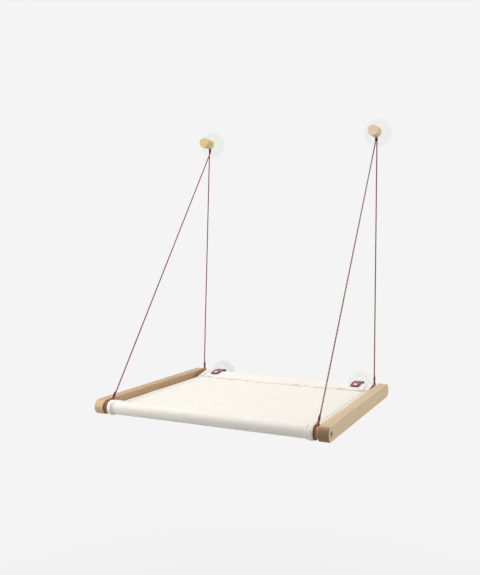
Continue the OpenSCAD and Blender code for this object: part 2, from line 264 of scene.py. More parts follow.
def tubeMesh(name, lines, radius, sides, finishes, slots=None, thick=None):
    # bevelled poly curves made into one mesh, each line in its own material slot unless slots says which
    curve = bpy.data.curves.new(name, "CURVE")
    for finish in finishes:
        curve.materials.append(finish)
    curve.dimensions = "3D"
    curve.bevel_depth = radius * mm
    curve.bevel_resolution = sides
    curve.use_fill_caps = True
    for i, line in enumerate(lines):
        spline = curve.splines.new("POLY")
        spline.points.add(len(line) - 1)
        for point, place in zip(spline.points, line):
            point.co = (*(place * mm), 1.0)
            point.radius = thick[i] if thick else 1.0
        spline.material_index = slots[i] if slots else i
    holder = bpy.data.objects.new(name, curve)
    scene.collection.objects.link(holder)
    shown = holder.evaluated_get(bpy.context.evaluated_depsgraph_get())
    mesh = bpy.data.meshes.new_from_object(shown)
    bpy.data.objects.remove(holder)
    bpy.data.curves.remove(curve)
    mesh.name = name
    return mesh


plyFinishes = [spunYarn("polyesterPly%d" % i, c, polyesterPly) for i, c in enumerate(cordLook["plyColours"])]
paintedTwistShadeFinishes = [spunYarn("paintedTwistShadePly%d" % i, c, polyesterPly) for i, c in enumerate(cordLook["paintedTwistShadeColours"])]


def makeCord(sideName, side, look):
    route, leg = cordRoute(side, look)
    plies = [[] for _ in range(look["plies"])]
    for i, (point, (across, over)) in enumerate(zip(route, routeFrames(route))):
        for k, ply in enumerate(plies):
            turn = 2 * math.pi * (i * look["step"] / look["pitch"] + k / look["plies"])
            ply.append(point + look["plyOffset"] * (math.cos(turn) * across + math.sin(turn) * over))
    mesh = tubeMesh("cord_lay_" + sideName, plies, look["plyRadius"], look["plySides"], plyFinishes)
    if sideName == "right":
        # its front leg has darker dark plies and paler pale plies: painted shade and painted highlight along
        # the twist, so the two tones show more
        for finish in paintedTwistShadeFinishes:
            mesh.materials.append(finish)
        for face in mesh.polygons:
            if face.center.y < look["paintedTwistShadeBeforeY"] * mm and face.center.z > look["paintedTwistShadeAboveZ"] * mm:
                face.material_index += look["plies"]
    cord = addPiece("cord_lay_" + sideName, mesh, [])
    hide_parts("cord_" + sideName)
    length = sum((b - a).length for a, b in zip(route, route[1:])) * mm
    path = [tuple(p * mm) for p in route]
    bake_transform(cord)
    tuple(path[0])
    return length, leg


for sideName, side in bothSides.items():
    cordLength, cordLeg = makeCord(sideName, side, cordLook)
print("cords laid, length %.4f m each" % cordLength)


# bindings: waxed thread wound round the two strands

bindingLook = {"threadRadius": 0.4, "threadSides": 1, "pitch": 0.86, "points": 28,
               "halfWide": 2.72, "halfHigh": 1.42, "squareness": 2.2, "tuck": 0.16, "tuckTurns": 1.2,
               # top and rear are darker than front; the top's darkness is partly painted shadow of the knob
               "colours": {"top": "#662230", "rear": "#62202b", "front": "#86283a"}}
bindingFinishes = {where: spunYarn("waxedThread_" + where, colour, waxedThread)
                   for where, colour in bindingLook["colours"].items()}


def makeBinding(nodeName, body, base, axis, wide, run, look):
    # one thread in close turns round a flat oval, tucked in at both ends
    high = axis.cross(wide)
    count = int((run - 2 * look["threadRadius"]) / look["pitch"]) * look["points"]
    flat = look["halfWide"] - look["halfHigh"]
    line = []
    for i in range(count + 1):
        turn = 2 * math.pi * i / look["points"]
        fromEnd = min(i, count - i) / look["points"]
        tuck = 1 - look["tuck"] * (1 - smoothstep(0, look["tuckTurns"], fromEnd))
        out = Vector((math.cos(turn), math.sin(turn))) * look["halfHigh"] * tuck
        shift = flat * max(-1, min(1, look["squareness"] * math.cos(turn)))
        along = look["threadRadius"] + look["pitch"] * i / look["points"]
        line.append(base + axis * along + wide * (out.x + shift) + high * out.y)
    finish = bindingFinishes[nodeName.split("_")[0]]
    mesh = tubeMesh("wound_" + nodeName, [line], look["threadRadius"], look["threadSides"], [finish])
    binding = addPiece("wound_" + nodeName, mesh, [])
    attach(binding, body)
    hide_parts(nodeName)


sideways, paneward, upward = Vector((1, 0, 0)), Vector((0, 1, 0)), Vector((0, 0, 1))
legAxis = Vector((0, cordLeg[0], cordLeg[1]))
topFoot = cordLook["topZ"] - cordLook["topThroat"] - cordLook["topLength"]
for sideName, side in bothSides.items():
    topPlace = Vector((side * cordLook["topX"], cordLook["topY"], topFoot))
    rearPlace = Vector((side * cordLook["eyeX"], seatPlan["rearY"], cordLook["eyeThroat"]))
    frontPlace = Vector((side * cordLook["eyeX"], seatPlan["frontY"], 0)) + legAxis * cordLook["eyeThroat"]
    makeBinding("top_sleeve_" + sideName, "window_set", topPlace, upward, sideways,
                cordLook["topLength"], bindingLook)
    makeBinding("rear_sleeve_" + sideName, "window_set", rearPlace, upward, paneward,
                cordLook["sleeveLength"], bindingLook)
    makeBinding("front_sleeve_" + sideName, "seat", frontPlace, legAxis, Vector((0, legAxis.z, -legAxis.y)),
                cordLook["sleeveLength"], bindingLook)
print("bindings wound")


# wood: rails, dowels and knobs

# what all of it shares. each layer: mm across and along the grain, detail, roughness
beechLook = {"layers": {"fibre": (1.1, 60, 3.0, 0.55), "cloud": (16, 170, 2.0, 0.5),
                        "fleck": (0.7, 5, 1.0, 0.5)},
             "fibreShare": 0.5, "cloudShare": 0.4, "toneSpan": (0.32, 0.72),
             "fleckSpan": (0.62, 0.74), "fleckDepth": -0.5, "ringSqueeze": 0.06,
             "wavePeriod": 0.31416,  # metres from ring to ring of a wave texture at scale 1
             "endSpan": (0.02, 0.3), "poreSpan": (0.35, 0.7), "poreShade": 0.8, "holeRim": (6, 8),
             "gloss": (0.38, 0.54), "bump": 0.3, "bumpDepth": 0.1, "ior": 1.48}


def oiledBeech(name, look, wood):
    # planed and oiled beech: pale tan, straight close grain in soft growth bands, short ray flecks,
    # end faces of their own tone: end grain, which drinks the oil differently, with painted light and shade on
    # some pieces
    finish, tree, shader = newFinish(name)
    axis = "XYZ".index(look["along"])
    place = addNode(tree, "ShaderNodeTexCoord")
    squeeze = [1.0, 1.0, 1.0]
    squeeze[axis] = wood["ringSqueeze"]
    ringPlace = addNode(tree, "ShaderNodeMapping",
                        {"Location": [-p * mm for p in look["pith"]], "Scale": squeeze},
                        {"Vector": place.outputs["Object"]})
    rings = addNode(tree, "ShaderNodeTexWave",
                    {"wave_type": "RINGS", "rings_direction": look["along"],
                     "Scale": wood["wavePeriod"] / (look["ring"] * mm),
                     "Distortion": 2.2, "Detail": 2.0, "Detail Scale": 0.8},
                    {"Vector": ringPlace.outputs["Vector"]})
    layers = {}
    for layer, (across, along, detail, roughness) in wood["layers"].items():
        scale = [1 / (across * mm)] * 3
        scale[axis] = 1 / (along * mm)
        spread = addNode(tree, "ShaderNodeMapping", {"Scale": scale, "Location": look["shift"]},
                         {"Vector": place.outputs["Object"]})
        layers[layer] = addNode(tree, "ShaderNodeTexNoise",
                                {"Scale": 1.0, "Detail": detail, "Roughness": roughness},
                                {"Vector": spread.outputs["Vector"]}).outputs["Fac"]

    # rings, fibres and clouds make the tone, and the flecks are laid over it
    ringPart = addNode(tree, "ShaderNodeMath", {"operation": "MULTIPLY", 1: look["ringShare"]},
                       {0: rings.outputs["Fac"]})
    fibrePart = addNode(tree, "ShaderNodeMath", {"operation": "MULTIPLY_ADD", 1: wood["fibreShare"]},
                        {0: layers["fibre"], 2: ringPart.outputs[0]})
    grain = addNode(tree, "ShaderNodeMath", {"operation": "MULTIPLY_ADD", 1: wood["cloudShare"]},
                    {0: layers["cloud"], 2: fibrePart.outputs[0]})
    tone = addNode(tree, "ShaderNodeValToRGB",
                   {"stops": zip(wood["toneSpan"], (linearColour(look["light"]), linearColour(look["dark"])))},
                   {"Fac": grain.outputs[0]})
    flecks = addNode(tree, "ShaderNodeValToRGB",
                     {"stops": zip(wood["fleckSpan"], ((0, 0, 0, 1), (1, 1, 1, 1)))},
                     {"Fac": layers["fleck"]})
    flecked = addNode(tree, "ShaderNodeMix",
                      {"data_type": "RGBA", "blend_type": "MULTIPLY", 7: linearColour(look["fleck"])},
                      {0: flecks.outputs["Color"], 6: tone.outputs["Color"]})

    # end grain with painted light and shade where a face is turned along the grain, but not in the screw's
    # counterbore
    facing = addNode(tree, "ShaderNodeSeparateXYZ", None, {0: place.outputs["Normal"]})
    square = addNode(tree, "ShaderNodeMath", {"operation": "MULTIPLY"},
                     {0: facing.outputs[axis], 1: facing.outputs[axis]})
    turned = addNode(tree, "ShaderNodeMapRange",
                     {"From Min": wood["endSpan"][0], "From Max": wood["endSpan"][1]},
                     {"Value": square.outputs[0]})
    flatPlace = addNode(tree, "ShaderNodeVectorMath", {"operation": "MULTIPLY", 1: (0, 1, 1)},
                        {0: place.outputs["Object"]})
    fromHole = addNode(tree, "ShaderNodeVectorMath",
                       {"operation": "DISTANCE", 1: (0, seatPlan["frontY"] * mm, 0)},
                       {0: flatPlace.outputs["Vector"]})
    outside = addNode(tree, "ShaderNodeMapRange",
                      {"From Min": wood["holeRim"][0] * mm, "From Max": wood["holeRim"][1] * mm,
                       "To Max": look["endShare"]}, {"Value": fromHole.outputs["Value"]})
    endPart = addNode(tree, "ShaderNodeMath", {"operation": "MULTIPLY"},
                      {0: turned.outputs["Result"], 1: outside.outputs["Result"]})
    endGrainAndLightTones = linearColour(look["endGrainAndLightTone"]), linearColour(look["endGrainAndLightTone"], wood["poreShade"])
    pores = addNode(tree, "ShaderNodeValToRGB", {"stops": zip(wood["poreSpan"], endGrainAndLightTones)},
                    {"Fac": layers["fibre"]})
    ended = addNode(tree, "ShaderNodeMix", {"data_type": "RGBA"},
                    {0: endPart.outputs[0], 6: flecked.outputs[2], 7: pores.outputs["Color"]})
    tree.links.new(ended.outputs[2], shader.inputs["Base Color"])

    rough = addNode(tree, "ShaderNodeMapRange", {"To Min": wood["gloss"][0], "To Max": wood["gloss"][1]},
                    {"Value": layers["fibre"]})
    tree.links.new(rough.outputs["Result"], shader.inputs["Roughness"])
    height = addNode(tree, "ShaderNodeMath", {"operation": "MULTIPLY_ADD", 1: wood["fleckDepth"]},
                     {0: flecks.outputs["Color"], 2: layers["fibre"]})
    bump = addNode(tree, "ShaderNodeBump", {"Strength": wood["bump"], "Distance": wood["bumpDepth"] * mm},
                   {"Height": height.outputs[0]})
    tree.links.new(bump.outputs["Normal"], shader.inputs["Normal"])
    shader.inputs["IOR"].default_value = wood["ior"]
    return finish


# along is the way of the grain, ring and pith are in mm
# end tones hold painted shade on the right rail's front end and painted light on the knobs' front faces
woodLooks = {
    "rail_left": {"along": "Y", "light": "#c1a178", "dark": "#a5845d", "fleck": "#c8ad86",
                  "endGrainAndLightTone": "#c9ab82", "endShare": 1.0, "ring": 3.4, "ringShare": 0.14,
                  "pith": (-250, 0, -60), "shift": (3.1, 0.4, 1.7)},
    "rail_right": {"along": "Y", "light": "#d0ba93", "dark": "#baa077", "fleck": "#cab490",
                   "endGrainAndLightTone": "#8c6f49", "endShare": 1.0, "ring": 3.6, "ringShare": 0.12,
                   "pith": (190, 0, -75), "shift": (0.2, 1.3, 0.9)},
    "front_dowel": {"along": "X", "light": "#c49c6a", "dark": "#96703f", "fleck": "#b8936a",
                    "endGrainAndLightTone": "#b08a5e", "endShare": 0.5, "ring": 2.6, "ringShare": 0.15,
                    "pith": (0, -440, 20), "shift": (0.5, 2.2, 0.3)},
    "rear_dowel": {"along": "X", "light": "#c8a172", "dark": "#9c7645", "fleck": "#b8936a",
                   "endGrainAndLightTone": "#b08a5e", "endShare": 0.5, "ring": 2.6, "ringShare": 0.15,
                   "pith": (0, -60, 25), "shift": (1.5, 0.7, 2.3)},
    "knob_left": {"along": "Y", "light": "#dcc69c", "dark": "#c9b083", "fleck": "#dcc092",
                  "endGrainAndLightTone": "#efd390", "endShare": 1.0, "ring": 2.4, "ringShare": 0.15,
                  "pith": (-212, 0, 562), "shift": (0.9, 0.1, 1.1)},
    "knob_right": {"along": "Y", "light": "#d6c098", "dark": "#bfa47b", "fleck": "#dcc49b",
                   "endGrainAndLightTone": "#ffe8c2", "endShare": 1.0, "ring": 2.4, "ringShare": 0.15,
                   "pith": (186, 0, 566), "shift": (2.4, 0.6, 0.2)},
}
for nodeName, look in woodLooks.items():
    dress(nodeName, oiledBeech("oiledBeech_" + nodeName, look, beechLook))
print("wood dressed")


# metal: screws, studs and rivets

platedLook = {"wipeSpan": (0.3, 0.75), "wipeShade": 0.82, "gloss": (0.24, 0.38)}


def platedMetal(name, colour, streak, look):
    # plated steel or brass: bright, with fine wipe marks that spread the gloss
    finish, tree, shader = newFinish(name)
    place = addNode(tree, "ShaderNodeTexCoord")
    wipe = addNode(tree, "ShaderNodeTexNoise", {"Scale": 1 / (streak * mm), "Detail": 4.0},
                   {"Vector": place.outputs["Object"]})
    wiped = linearColour(colour, look["wipeShade"]), linearColour(colour)
    tone = addNode(tree, "ShaderNodeValToRGB", {"stops": zip(look["wipeSpan"], wiped)},
                   {"Fac": wipe.outputs["Fac"]})
    tree.links.new(tone.outputs["Color"], shader.inputs["Base Color"])
    rough = addNode(tree, "ShaderNodeMapRange", {"To Min": look["gloss"][0], "To Max": look["gloss"][1]},
                    {"Value": wipe.outputs["Fac"]})
    tree.links.new(rough.outputs["Result"], shader.inputs["Roughness"])
    shader.inputs["Metallic"].default_value = 1.0
    return finish


zincSteel = platedMetal("zincPlatedSteel", "#c9ccce", 0.9, platedLook)
nickelBrass = platedMetal("nickelPlatedBrass", "#d9cfcd", 1.2, platedLook)
dress("rail_screws", zincSteel)
for sideName in bothSides:
    dress("rivet_" + sideName, nickelBrass)

studLook = {"radius": 4.0, "root": 3.45, "pitch": 1.25, "steps": 32, "spareTeeth": 3}


def makeStud(sideName, look):
    # zigzag line spun one turn while it climbs one pitch, then cut square at both ends
    low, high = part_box("stud_" + sideName)
    centre = (low + high) / 2
    pitch = look["pitch"] * mm
    teeth = int((high.y - low.y) / pitch) + look["spareTeeth"]
    top = high.y + look["spareTeeth"] / 2 * pitch
    bm = bmesh.new()
    line = []
    for i in range(teeth * 2 + 1):
        radius = look["radius"] if i % 2 else look["root"]
        line.append(bm.verts.new((centre.x, top - i * pitch / 2, centre.z + radius * mm)))
    edges = [bm.edges.new(pair) for pair in zip(line, line[1:])]
    bmesh.ops.spin(bm, geom=line + edges, cent=centre, axis=(0, 1, 0), angle=2 * math.pi,
                   steps=look["steps"], dvec=(0, pitch / look["steps"], 0))
    bmesh.ops.remove_doubles(bm, verts=bm.verts, dist=weldDistance)
    for place, facing in ((low.y, -1), (high.y, 1)):
        cut = bmesh.ops.bisect_plane(bm, geom=bm.verts[:] + bm.edges[:] + bm.faces[:], plane_co=(0, place, 0),
                                     plane_no=(0, facing, 0), clear_outer=True)
        rim = [e for e in cut["geom_cut"] if isinstance(e, bmesh.types.BMEdge)]
        bmesh.ops.edgeloop_fill(bm, edges=rim)
    bmesh.ops.recalc_face_normals(bm, faces=bm.faces)
    stud = addPiece("stud_thread_" + sideName, bm, [zincSteel], smooth=False)
    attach(stud, "window_set")
    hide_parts("stud_" + sideName)


for sideName in bothSides:
    makeStud(sideName, studLook)
print("metal dressed")


# suction cups: clear soft PVC. heights are from the pane, in mm

# rings: height, then place and width as shares of the way from lip to hub.
# tones: radius and the colour of the light that gets through there; its lighter and darker rings are painted
# light and shade for the rings' relief and the rim
cupShape = {"radius": 30.0, "lip": 0.8, "seal": 5.0, "hollow": 1.2, "hollowRun": 5.0,
            "hollowFoot": ((1.5, 0.35), (0.0, 0.02)), "rings": ((0.35, 0.22, 0.06), (0.4, 0.52, 0.07)),
            "steps": 96, "flareSteps": 42, "cornerSteps": 4,
            "tones": ((0.0, "#f2f4f0"), (13.0, "#f5f7f3"), (16.0, "#fafcf9"), (18.0, "#f6f8f4"),
                      (20.0, "#fafcfa"), (22.8, "#eff2ec"), (26.0, "#fcfdfb"), (28.6, "#fbfcfa"),
                      (29.8, "#f4f6f2"))}
upperCup = {"hub": 12.5, "hubReach": 6.0, "foot": 1.0, "footShare": 0.5, "wallShare": 0.6, "hubEase": 0.8,
            "boss": 8.0, "bossReach": 10.5, "bore": 4.05, "boreDepth": 7.7, "corner": 0.8}
lowerCup = {"hub": 11.0, "hubReach": 5.5, "foot": 1.0, "footShare": 0.75, "neck": 3.5, "neckLength": 4.0,
            "head": 7.0, "headThick": 4.0, "headShare": 0.6, "headEase": 2.6, "corner": 0.9}


def clearPvc(name, shape, toneShare):
    # moulded clear PVC: very slightly green, deeper in tone along its moulded rings and its rim, as painted
    # shade and light for their relief.
    # its bending of light is drawn weak, because the soft thin cup pressed on glass shows hardly any
    finish, tree, shader = newFinish(name)
    outward = addNode(tree, "ShaderNodeAttribute", {"attribute_name": "radius"})
    share = addNode(tree, "ShaderNodeMapRange", {"From Max": shape["radius"]},
                    {"Value": outward.outputs["Fac"]})
    stops = [(radius / shape["radius"], linearColour(tone, toneShare)) for radius, tone in shape["tones"]]
    ramp = addNode(tree, "ShaderNodeValToRGB", {"stops": stops}, {"Fac": share.outputs["Result"]})
    tree.links.new(ramp.outputs["Color"], shader.inputs["Base Color"])
    shader.inputs["Roughness"].default_value = 0.0
    shader.inputs["Transmission Weight"].default_value = 1.0
    shader.inputs["IOR"].default_value = 1.12
    shader.inputs["Specular Tint"].default_value = linearColour("#000000")
    shader.inputs["Coat Weight"].default_value = 0.3
    shader.inputs["Coat Roughness"].default_value = 0.2
    shader.inputs["Coat IOR"].default_value = 1.4
    return finish


def roundCorners(profile, radius, count):
    # same outline with each corner turned into a short curve
    made = [profile[0]]
    for a, b, c in zip(profile, profile[1:], profile[2:]):
        a, b, c = Vector(a), Vector(b), Vector(c)
        cut = min(radius, (a - b).length * 0.45, (c - b).length * 0.45)  # never past the middle of a side
        start, end = b + (a - b).normalized() * cut, b + (c - b).normalized() * cut
        for i in range(count + 1):
            t = i / count
            made.append(tuple((1 - t) ** 2 * start + 2 * t * (1 - t) * b + t * t * end))
    return made + [profile[-1]]


def cupBack(shape):
    # pane side: a shallow hollow inside the flat seal
    inner, deep = shape["radius"] - shape["seal"], shape["hollow"]
    foot = [(inner - inset, high) for inset, high in shape["hollowFoot"]]
    return [(0, deep), (inner - shape["hollowRun"], deep)] + foot + [(shape["radius"], 0.0)]


def cupFlare(shape, hub, top):
    # thin lip, two low rings and the flare up to the hub
    made = []
    for i in range(shape["flareSteps"] + 1):
        k = i / shape["flareSteps"]
        ring = sum(high * bell(k - place, wide) for high, place, wide in shape["rings"])
        made.append((shape["radius"] + (hub - shape["radius"]) * k,
                     shape["lip"] + (top - shape["lip"]) * k * k + ring))
    return made


def upperFront(look):
    # hub, boss and the bore that holds the stud
    hub, reach, boss, top, bore = look["hub"], look["hubReach"], look["boss"], look["bossReach"], look["bore"]
    floor = top - look["boreDepth"]
    return [(hub, reach * look["wallShare"]), (hub - look["hubEase"], reach), (boss, reach), (boss, top),
            (bore, top), (bore, floor), (0, floor)]


def lowerFront(look):
    # hub, neck and button head
    reach, neck, head, thick = look["hubReach"], look["neck"], look["head"], look["headThick"]
    under = reach + look["neckLength"]
    return [(look["hub"], reach), (neck, reach), (neck, under), (head, under),
            (head, under + thick * look["headShare"]), (head - look["headEase"], under + thick),
            (0, under + thick)]


def spinCup(name, profile, centre, steps, finish):
    bm = bmesh.new()
    line = [bm.verts.new((centre.x + r * mm, -h * mm, centre.z)) for r, h in profile]
    edges = [bm.edges.new(pair) for pair in zip(line, line[1:])]
    bmesh.ops.spin(bm, geom=line + edges, cent=(centre.x, 0, centre.z), axis=(0, 1, 0), angle=2 * math.pi,
                   steps=steps, use_merge=True)
    bmesh.ops.remove_doubles(bm, verts=bm.verts, dist=weldDistance)
    bmesh.ops.recalc_face_normals(bm, faces=bm.faces)
    outward = bm.verts.layers.float.new("radius")
    for vert in bm.verts:
        vert[outward] = math.hypot(vert.co.x - centre.x, vert.co.z - centre.z) / mm
    return addPiece(name, bm, [finish])


def makeCup(level, sideName, look, front, finish, shape):
    nodeName = "%s_cup_%s" % (level, sideName)
    low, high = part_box(nodeName)
    foot = (look["hub"] + look["foot"], look["hubReach"] * look["footShare"])
    outline = cupBack(shape) + cupFlare(shape, *foot)[:-1]
    outline += roundCorners([foot] + front, look["corner"], shape["cornerSteps"])
    cup = spinCup("cup_%s_%s" % (level, sideName), outline, (low + high) / 2, shape["steps"], finish)
    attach(cup, "window_set")
    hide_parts(nodeName)


pvcFinish = clearPvc("clearPvc", cupShape, 1.0)
darkerPvcFinish = clearPvc("darkerPvc", cupShape, 0.93)
for sideName in bothSides:
    makeCup("upper", sideName, upperCup, upperFront(upperCup), pvcFinish, cupShape)
    # the lower left cup is drawn a little darker
    finish = darkerPvcFinish if sideName == "left" else pvcFinish
    makeCup("lower", sideName, lowerCup, lowerFront(lowerCup), finish, cupShape)
print("cups spun")


# canvas seat: one hemmed sheet, wrapped up round each dowel and sewn down on itself

canvasLook = {
    "cell": 4.0, "hem": 12.0, "layerGap": 1.25, "rearNarrow": 4.0, "narrowFrom": 60.0,
    "flapWander": 2.0, "flapWave": 33.0,
    # columns over the hem, round its fold as (inset, share of the gap), and beside its seam
    "hemColumns": (0, 1.2, 2.3, 3.6),
    "foldColumns": ((4.4, 1.0), (1.4, 1.0), (0.45, 0.93), (0.1, 0.72), (0.0, 0.5), (0.1, 0.28),
                    (0.45, 0.07), (1.4, 0.0), (4.4, 0.0)),
    "seamColumns": (4.2, 3.2, 2.6, 2.0, 1.2, 0.4, -0.6, -1.8),
    # rows of a sleeve as shares of the way from seam to dowel, then degrees round the dowel
    "seamRows": (0, 0.02, 0.045, 0.08, 0.11, 0.14), "sleeveRows": (0.22, 1, 0.09), "turnStep": 9.0,
    # where the hem of the upper sheet eases in and that of the lower sheet doubles, and the step beside it
    "wrapIn": (14, 40), "wrapDouble": (14, 43), "wrapStep": (-2.2, 0.4),
    "sag": 5.0, "sagSpan": (8, 120), "wave": 0.8, "waveSizes": (80, 70), "waveSpan": (25, 70),
    "pucker": 0.9, "puckerSizes": (16, 60), "puckerReach": 10.0,
    "hemPucker": 0.6, "hemPuckerSizes": (6, 60), "hemPuckerReach": 4.0,
    "groove": 0.8, "grooveReach": 0.9, "crown": 1.0, "fine": 0.12, "fineSizes": (22, 22),
    "pressed": 0.35, "pressedWave": 15.0, "pressedReach": 9.0}
# sizes in mm, the spans are of noise, the rest are shares
duckLook = {"thread": 1.6, "nub": 3.4, "cream": "#fbf6ed", "shade": "#f3ecde", "seed": "#d3c19d",
            "wander": 0.05, "slubStretch": (0.9, 0.05), "slubSpan": (0.72, 1.0), "slubBump": 0.8,
            "seedSpan": (0.76, 0.82), "seedShare": 0.6, "weaveShade": 0.92,
            "nubSpan": (0.3, 0.65), "nubShade": 0.9, "nubBump": 1.6, "bump": 0.7, "bumpDepth": 0.55}


def cottonDuck(name, look):
    # unbleached cotton duck in plain weave: matt cream, uneven threads, odd seed flecks, faint fuzz.
    # the threads are drawn twice as coarse as real ones so that the weave shows
    finish, tree, shader = newFinish(name)
    place = addNode(tree, "ShaderNodeUVMap", {"uv_map": "cloth"})
    perThread = 1 / (look["thread"] * mm)
    threads = addNode(tree, "ShaderNodeMapping", {"Scale": (perThread, perThread, 1)},
                      {"Vector": place.outputs["UV"]}).outputs["Vector"]

    # weave: rounded threads that dip where they pass under
    wander = addNode(tree, "ShaderNodeTexNoise", {"Scale": 0.35, "Detail": 2.0}, {"Vector": threads})
    bent = addNode(tree, "ShaderNodeMix", {"data_type": "VECTOR", 0: look["wander"]},
                   {4: threads, 5: wander.outputs["Color"]})
    split = addNode(tree, "ShaderNodeSeparateXYZ", None, {0: bent.outputs[1]})
    waves, rounds = [], []
    for side in ("X", "Y"):
        angle = addNode(tree, "ShaderNodeMath", {"operation": "MULTIPLY", 1: math.pi}, {0: split.outputs[side]})
        waves.append(addNode(tree, "ShaderNodeMath", {"operation": "SINE"}, {0: angle.outputs[0]}))
        rounds.append(addNode(tree, "ShaderNodeMath", {"operation": "ABSOLUTE"}, {0: waves[-1].outputs[0]}))
    cross = addNode(tree, "ShaderNodeMath", {"operation": "MULTIPLY"},
                    {0: waves[0].outputs[0], 1: waves[1].outputs[0]})
    over = addNode(tree, "ShaderNodeMath", {"operation": "GREATER_THAN", 1: 0.0}, {0: cross.outputs[0]})
    heights = []
    for top, under in (rounds, rounds[::-1]):
        dip = addNode(tree, "ShaderNodeMath", {"operation": "MULTIPLY_ADD", 1: 0.5, 2: 0.5},
                      {0: under.outputs[0]})
        heights.append(addNode(tree, "ShaderNodeMath", {"operation": "MULTIPLY"},
                               {0: top.outputs[0], 1: dip.outputs[0]}))
    weave = addNode(tree, "ShaderNodeMix", {"data_type": "FLOAT"},
                    {0: over.outputs[0], 2: heights[0].outputs[0], 3: heights[1].outputs[0]})

    # slubs: thick places that run along single threads, both ways
    slubs = []
    for scale in ((*look["slubStretch"], 1), (*look["slubStretch"][::-1], 1)):
        run = addNode(tree, "ShaderNodeMapping", {"Scale": scale}, {"Vector": threads})
        slubs.append(addNode(tree, "ShaderNodeTexNoise", {"Scale": 1.0, "Detail": 2.0},
                             {"Vector": run.outputs["Vector"]}))
    slub = addNode(tree, "ShaderNodeMath", {"operation": "ADD"},
                   {0: slubs[0].outputs["Fac"], 1: slubs[1].outputs["Fac"]})
    tone = addNode(tree, "ShaderNodeValToRGB",
                   {"stops": zip(look["slubSpan"], (linearColour(look["shade"]), linearColour(look["cream"])))},
                   {"Fac": slub.outputs[0]})

    # seed flecks, the shade between the threads and the uneven yarn are laid over it
    seeds = addNode(tree, "ShaderNodeTexNoise", {"Scale": 0.8, "Detail": 0.0}, {"Vector": threads})
    flecks = addNode(tree, "ShaderNodeValToRGB",
                     {"stops": zip(look["seedSpan"], ((0, 0, 0, 1), [look["seedShare"]] * 3 + [1]))},
                     {"Fac": seeds.outputs["Fac"]})
    flecked = addNode(tree, "ShaderNodeMix", {"data_type": "RGBA", 7: linearColour(look["seed"])},
                      {0: flecks.outputs["Color"], 6: tone.outputs["Color"]})
    depth = addNode(tree, "ShaderNodeMapRange", {"To Min": look["weaveShade"], "To Max": 1.0},
                    {"Value": weave.outputs[0]})
    deep = addNode(tree, "ShaderNodeMix", {"data_type": "RGBA", "blend_type": "MULTIPLY", 0: 1.0},
                   {6: flecked.outputs[2], 7: depth.outputs["Result"]})
    nubs = addNode(tree, "ShaderNodeTexNoise", {"Scale": look["thread"] / look["nub"], "Detail": 1.0},
                   {"Vector": threads})
    uneven = addNode(tree, "ShaderNodeMapRange",
                     {"From Min": look["nubSpan"][0], "From Max": look["nubSpan"][1],
                      "To Min": look["nubShade"], "To Max": 1.0}, {"Value": nubs.outputs["Fac"]})
    mottled = addNode(tree, "ShaderNodeMix", {"data_type": "RGBA", "blend_type": "MULTIPLY", 0: 1.0},
                      {6: deep.outputs[2], 7: uneven.outputs["Result"]})
    tree.links.new(mottled.outputs[2], shader.inputs["Base Color"])

    slubbed = addNode(tree, "ShaderNodeMath", {"operation": "MULTIPLY_ADD", 1: look["slubBump"]},
                      {0: slub.outputs[0], 2: weave.outputs[0]})
    height = addNode(tree, "ShaderNodeMath", {"operation": "MULTIPLY_ADD", 1: look["nubBump"]},
                     {0: nubs.outputs["Fac"], 2: slubbed.outputs[0]})
    bump = addNode(tree, "ShaderNodeBump", {"Strength": look["bump"], "Distance": look["bumpDepth"] * mm},
                   {"Height": height.outputs[0]})
    tree.links.new(bump.outputs["Normal"], shader.inputs["Normal"])
    shader.inputs["Roughness"].default_value = 0.92
    shader.inputs["Sheen Weight"].default_value = 0.12
    shader.inputs["Specular IOR Level"].default_value = 0.2
    return finish


def sleeveLine(plan, look, top):
    # middle of the cloth in a sleeve as (u, z): upper sheet from the seam, round the dowel, lower sheet
    middle = plan["rollRadius"] - plan["clothThick"] / 2
    upper = Vector((plan["sleeveRun"], top - plan["clothThick"] / 2))
    lower = upper - Vector((0, plan["clothThick"]))
    first, last = tangentAngle(upper, middle, 1), tangentAngle(lower, middle, -1) + 2 * math.pi
    steps = list(look["seamRows"]) + stepsBetween(*look["sleeveRows"])
    over, under = (Vector((math.cos(a), math.sin(a))) * middle for a in (first, last))
    turns = stepsBetween(first, last, math.radians(look["turnStep"]))[1:]
    line = [upper.lerp(over, t) for t in steps]
    line += [Vector((math.cos(a), math.sin(a))) * middle for a in turns]
    return line + [lower.lerp(under, t) for t in reversed(steps[:-1])], len(steps)


def clothRows(plan, look):
    # the whole length of the sheet in the (y, z) plane.
    # wrap counts the hem layers under the front sleeve's outer side
    rear, bend = sleeveLine(plan, look, plan["seatTop"] + plan["clothThick"])
    front, bend = sleeveLine(plan, look, plan["seatTop"])
    seams = plan["rearY"] - plan["sleeveRun"], plan["frontY"] + plan["sleeveRun"]
    rows = [(Vector((plan["rearY"] - p.x, p.y)), 0) for p in rear]
    rows += [(Vector((y, front[0].y)), 0) for y in stepsBetween(*seams, look["cell"])[1:-1]]
    for i, p in enumerate(front):
        wrap = 1
        if i < bend:
            wrap = 1 - smoothstep(*look["wrapIn"], p.x)
        elif i > len(front) - bend:
            wrap = 1 + smoothstep(*look["wrapDouble"], p.x)
        rows.append((Vector((plan["frontY"] + p.x, p.y)), wrap))
    made, along = [], 0.0
    for i, (point, wrap) in enumerate(rows):
        if i:
            along += (point - rows[i - 1][0]).length
        ahead = (rows[min(i + 1, len(rows) - 1)][0] - rows[max(i - 1, 0)][0]).normalized()
        made.append({"at": point, "out": Vector((-ahead.y, ahead.x)), "along": along, "wrap": wrap})
    return made


